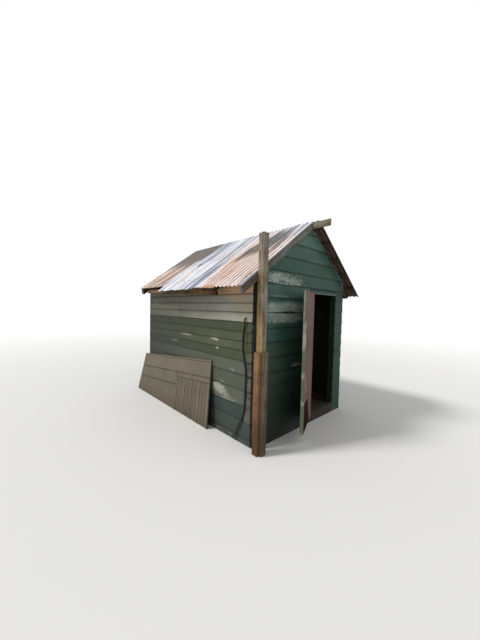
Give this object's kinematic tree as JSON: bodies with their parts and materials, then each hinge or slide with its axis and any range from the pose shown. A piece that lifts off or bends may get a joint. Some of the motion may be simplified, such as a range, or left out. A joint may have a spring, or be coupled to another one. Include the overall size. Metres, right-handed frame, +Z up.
{
  "type": "wooden outhouse",
  "caption": "Hollow timber outhouse on skids with lapped board walls, a gable roof of corrugated sheets, a hinged plank door, a propped corner post and a panel leaning on one side.",
  "frame": {"origin": "on the ground under the middle of the middle skid, halfway between the front and rear board faces", "axes": "+X to the right as seen from the front, +Y from the front wall to the rear wall, +Z up"},
  "size_m": [2.885, 3.8218, 3.1396],
  "materials": {
    "bare_lumber": "weathered bare softwood",
    "green_boards": "peeling dark green paint",
    "left_boards": "faded off-white, olive and grey-green paint",
    "grey_boards": "weathered grey",
    "rotted_boards": "rotted",
    "post_lumber": "weathered bare softwood",
    "bare_sheets": "weathered with rust streaks",
    "rusty_sheets": "rusty",
    "dark_iron": "rusty",
    "tan_panel": "dull tan paint",
    "black_plastic": "dull",
    "door_edge": "peeling green paint",
    "door_inside": "faded pinkish brown"
  },
  "bodies": {
    "hut": {"skids": "bare_lumber", "floor": "bare_lumber", "threshold": "bare_lumber", "sill_plates": "bare_lumber", "top_plates": "bare_lumber", "left_studs": "bare_lumber", "right_studs": "bare_lumber", "front_studs": "bare_lumber", "rear_studs": "bare_lumber", "gable_posts": "bare_lumber", "rafters": "bare_lumber", "ridge_board": "bare_lumber", "purlins": "bare_lumber", "right_siding": "green_boards", "rear_siding": "green_boards", "front_siding_left": "green_boards", "front_siding_right": "green_boards", "gable_siding": "green_boards", "left_jamb": "green_boards", "right_jamb": "green_boards", "left_siding": "left_boards", "front_barge": "grey_boards", "rear_barges": "grey_boards", "door_header": "grey_boards", "left_fascia": "rotted_boards", "right_fascia": "rotted_boards", "corner_post": "post_lumber", "post_scab_left": "post_lumber", "post_scab_front": "post_lumber", "left_sheet_1": "bare_sheets", "left_sheet_2": "bare_sheets", "left_sheet_3": "bare_sheets", "left_sheet_4": "bare_sheets", "right_sheets": "bare_sheets", "left_sheet_5": "rusty_sheets", "left_sheet_6": "rusty_sheets", "hinge_plates": "dark_iron", "hasp": "dark_iron", "leaning_panel": "tan_panel", "black_pipe": "black_plastic"},
    "door": {"door_siding": "green_boards", "door_core": "door_edge", "door_lining": "door_inside", "door_straps": "dark_iron", "door_staple": "dark_iron"}
  },
  "joints": [
    {"name": "door_hinge", "type": "hinge", "parent": "hut", "child": "door", "pos_m": [0.0575, -1.568, 1.1], "axis": [0, 0, 1], "range_deg": [-8, 154.5]}
  ]
}
